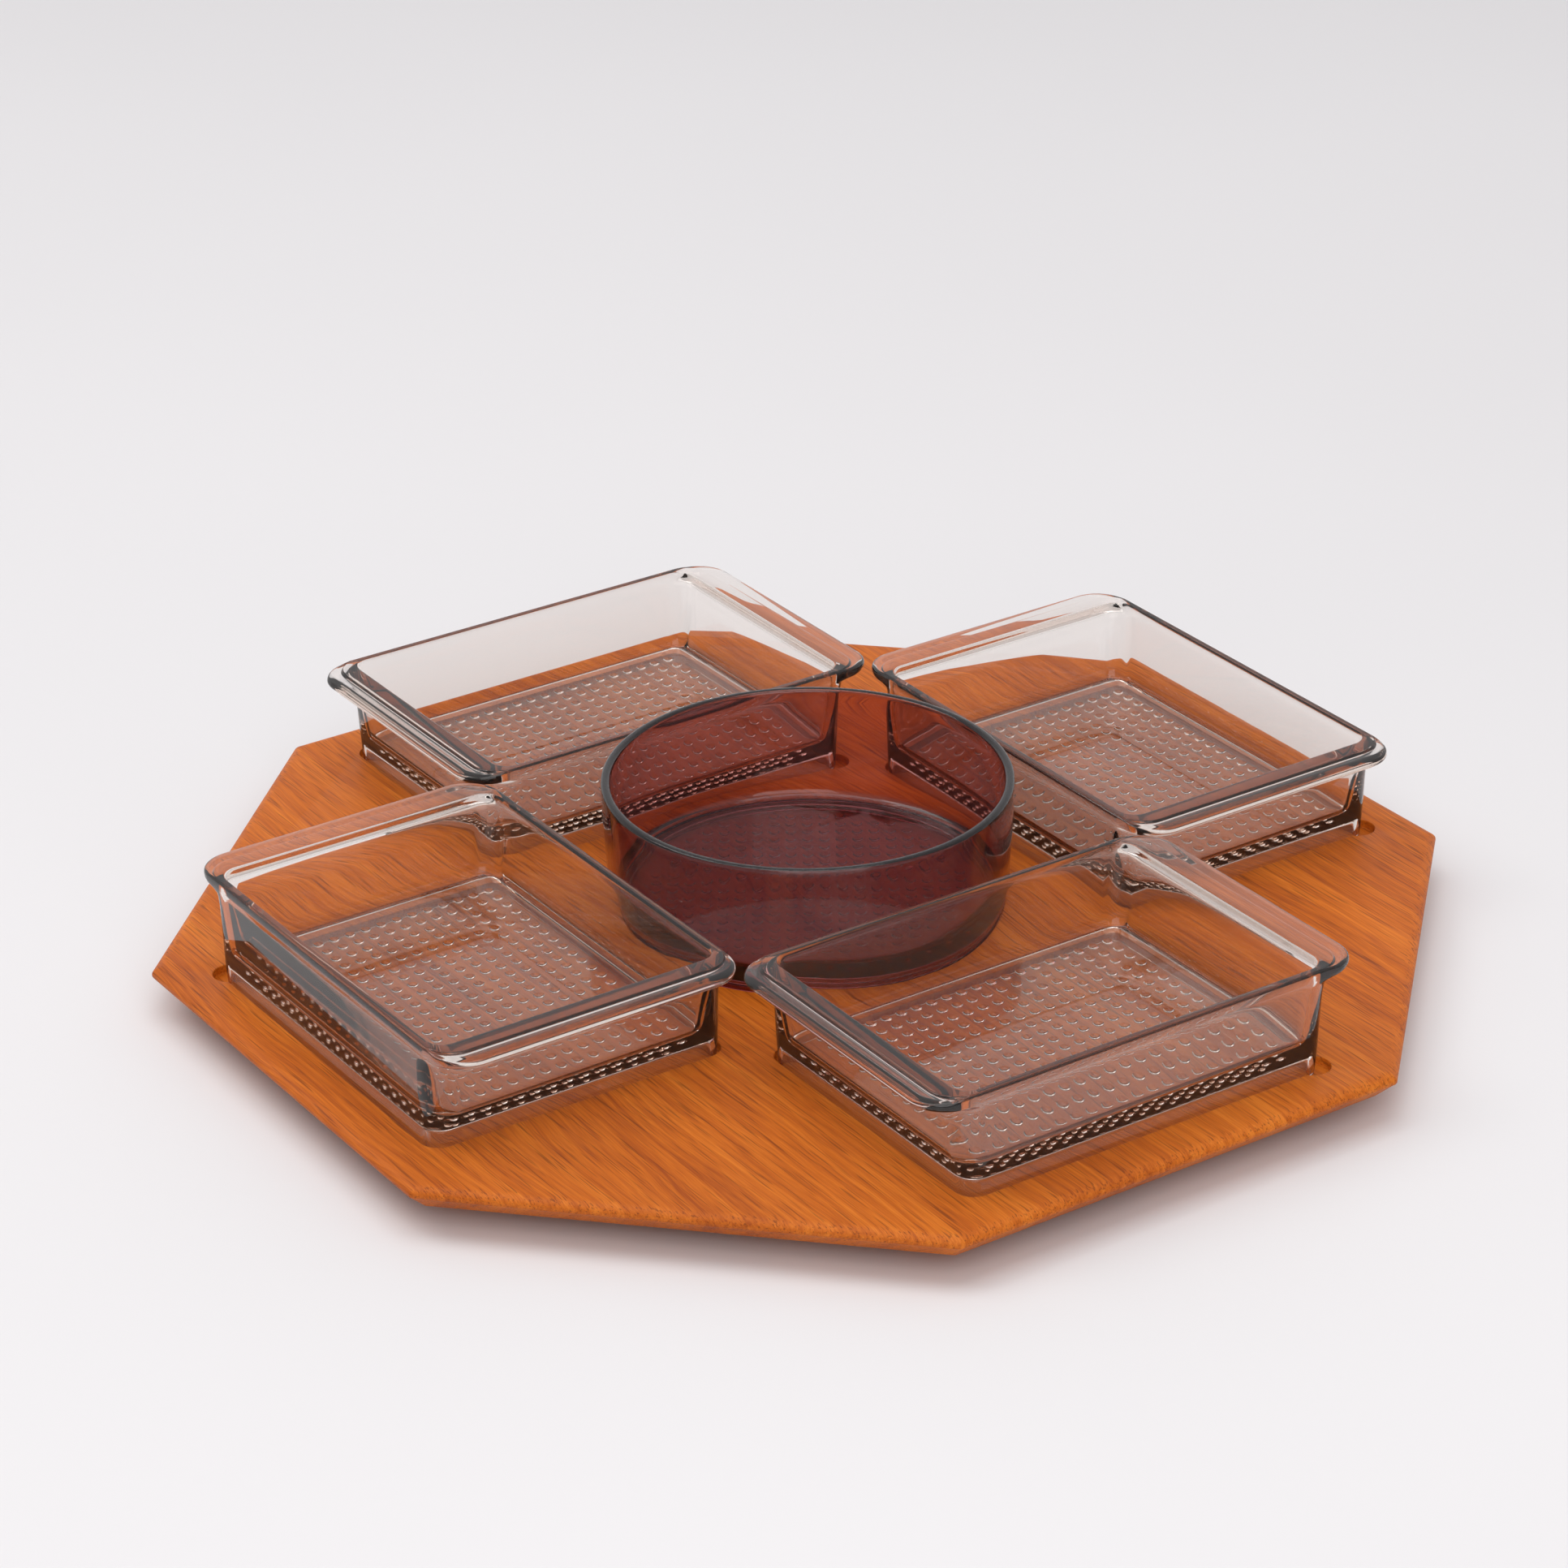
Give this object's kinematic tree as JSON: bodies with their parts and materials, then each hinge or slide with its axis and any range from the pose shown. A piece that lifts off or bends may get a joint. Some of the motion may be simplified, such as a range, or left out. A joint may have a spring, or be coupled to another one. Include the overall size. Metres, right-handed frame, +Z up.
{
  "type": "lazy susan turntable",
  "caption": "Octagonal wooden turntable on a ball race, with rectangular smoked-glass serving dishes round a deeper round plum-coloured glass dish.",
  "frame": {"origin": "on the surface that the feet stand on, below the centre of the board", "axes": "+Z up along the turntable's axis, +X and +Y square to two flats of the octagonal board, the board's grain along Y"},
  "size_m": [0.4, 0.4, 0.0625],
  "materials": {
    "teak_board": "oiled teak, satin",
    "teak_base": "oiled teak, satin",
    "smoked_glass": "pressed glass, light smoke grey-brown",
    "plum_glass": "pressed glass, plum",
    "plated_steel": "zinc plated",
    "ball_steel": "polished steel",
    "cage_nylon": "natural nylon",
    "foot_rubber": "matt"
  },
  "bodies": {
    "base": {"base_disc": "teak_base", "foot_1": "foot_rubber", "foot_2": "foot_rubber", "foot_3": "foot_rubber", "foot_4": "foot_rubber", "bearing_lower_plate": "plated_steel", "pivot_rivet": "plated_steel", "lower_screw_1": "plated_steel", "lower_screw_2": "plated_steel", "lower_screw_3": "plated_steel", "lower_screw_4": "plated_steel"},
    "turntable": {"turntable_board": "teak_board", "bearing_upper_plate": "plated_steel", "upper_screw_1": "plated_steel", "upper_screw_2": "plated_steel", "upper_screw_3": "plated_steel", "upper_screw_4": "plated_steel"},
    "cage": {"ball_cage": "cage_nylon", "bearing_ball_01": "ball_steel", "bearing_ball_02": "ball_steel", "bearing_ball_03": "ball_steel", "bearing_ball_04": "ball_steel", "bearing_ball_05": "ball_steel", "bearing_ball_06": "ball_steel", "bearing_ball_07": "ball_steel", "bearing_ball_08": "ball_steel", "bearing_ball_09": "ball_steel", "bearing_ball_10": "ball_steel", "bearing_ball_11": "ball_steel", "bearing_ball_12": "ball_steel"},
    "left_dish": {"dish_left": "smoked_glass"},
    "front_dish": {"dish_front": "smoked_glass"},
    "right_dish": {"dish_right": "smoked_glass"},
    "back_dish": {"dish_back": "smoked_glass"},
    "middle_dish": {"round_dish": "plum_glass"}
  },
  "joints": [
    {"name": "board_spin", "type": "hinge", "parent": "base", "child": "turntable", "pos_m": [0, 0, 0.017], "axis": [0, 0, 1], "continuous": true},
    {"name": "cage_spin", "type": "hinge", "parent": "base", "child": "cage", "pos_m": [0, 0, 0.0097], "axis": [0, 0, 1], "continuous": true},
    {"name": "left_dish_lift", "type": "slide", "parent": "turntable", "child": "left_dish", "axis": [0, 0, 1], "range_m": [0, 0.06]},
    {"name": "front_dish_lift", "type": "slide", "parent": "turntable", "child": "front_dish", "axis": [0, 0, 1], "range_m": [0, 0.06]},
    {"name": "right_dish_lift", "type": "slide", "parent": "turntable", "child": "right_dish", "axis": [0, 0, 1], "range_m": [0, 0.06]},
    {"name": "back_dish_lift", "type": "slide", "parent": "turntable", "child": "back_dish", "axis": [0, 0, 1], "range_m": [0, 0.06]},
    {"name": "middle_dish_lift", "type": "slide", "parent": "turntable", "child": "middle_dish", "axis": [0, 0, 1], "range_m": [0, 0.06]}
  ],
  "couplings": [
    {"joint": "cage_spin", "follows": "board_spin", "ratio": 0.5}
  ]
}
